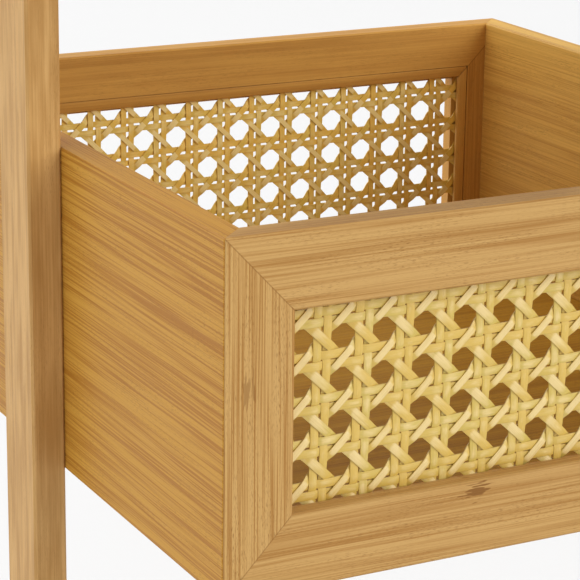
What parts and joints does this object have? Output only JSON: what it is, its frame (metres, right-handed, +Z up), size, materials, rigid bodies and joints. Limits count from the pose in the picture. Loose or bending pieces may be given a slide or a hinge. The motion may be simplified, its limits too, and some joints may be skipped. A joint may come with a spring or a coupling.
{
  "type": "bamboo storage rack",
  "caption": "Free-standing bamboo storage rack: open bins with cane webbing in mitred frames, stacked between flat uprights that stand on foot bars.",
  "frame": {"origin": "on the floor, under the middle of the rack", "axes": "+Z up, +Y from the front frames to the rear frames, +X to the right seen from the front"},
  "size_m": [0.2586, 0.24, 0.674],
  "materials": {
    "bamboo": "satin clear lacquer",
    "cane": "natural, slightly glossy",
    "screw_steel": "plated",
    "pad_rubber": "matt"
  },
  "bodies": {
    "root": {"lower_floor": "bamboo", "lower_left_side": "bamboo", "lower_right_side": "bamboo", "lower_front_bottom_rail": "bamboo", "lower_front_top_rail": "bamboo", "lower_front_left_stile": "bamboo", "lower_front_right_stile": "bamboo", "lower_front_webbing": "cane", "lower_rear_bottom_rail": "bamboo", "lower_rear_top_rail": "bamboo", "lower_rear_left_stile": "bamboo", "lower_rear_right_stile": "bamboo", "lower_rear_webbing": "cane", "lower_screws": "screw_steel", "middle_floor": "bamboo", "middle_left_side": "bamboo", "middle_right_side": "bamboo", "middle_front_bottom_rail": "bamboo", "middle_front_top_rail": "bamboo", "middle_front_left_stile": "bamboo", "middle_front_right_stile": "bamboo", "middle_front_webbing": "cane", "middle_rear_bottom_rail": "bamboo", "middle_rear_top_rail": "bamboo", "middle_rear_left_stile": "bamboo", "middle_rear_right_stile": "bamboo", "middle_rear_webbing": "cane", "middle_screws": "screw_steel", "upper_floor": "bamboo", "upper_left_side": "bamboo", "upper_right_side": "bamboo", "upper_front_bottom_rail": "bamboo", "upper_front_top_rail": "bamboo", "upper_front_left_stile": "bamboo", "upper_front_right_stile": "bamboo", "upper_front_webbing": "cane", "upper_rear_bottom_rail": "bamboo", "upper_rear_top_rail": "bamboo", "upper_rear_left_stile": "bamboo", "upper_rear_right_stile": "bamboo", "upper_rear_webbing": "cane", "upper_screws": "screw_steel", "left_post": "bamboo", "left_foot": "bamboo", "right_post": "bamboo", "right_foot": "bamboo", "foot_pads": "pad_rubber", "foot_screws": "screw_steel"}
  },
  "joints": []
}
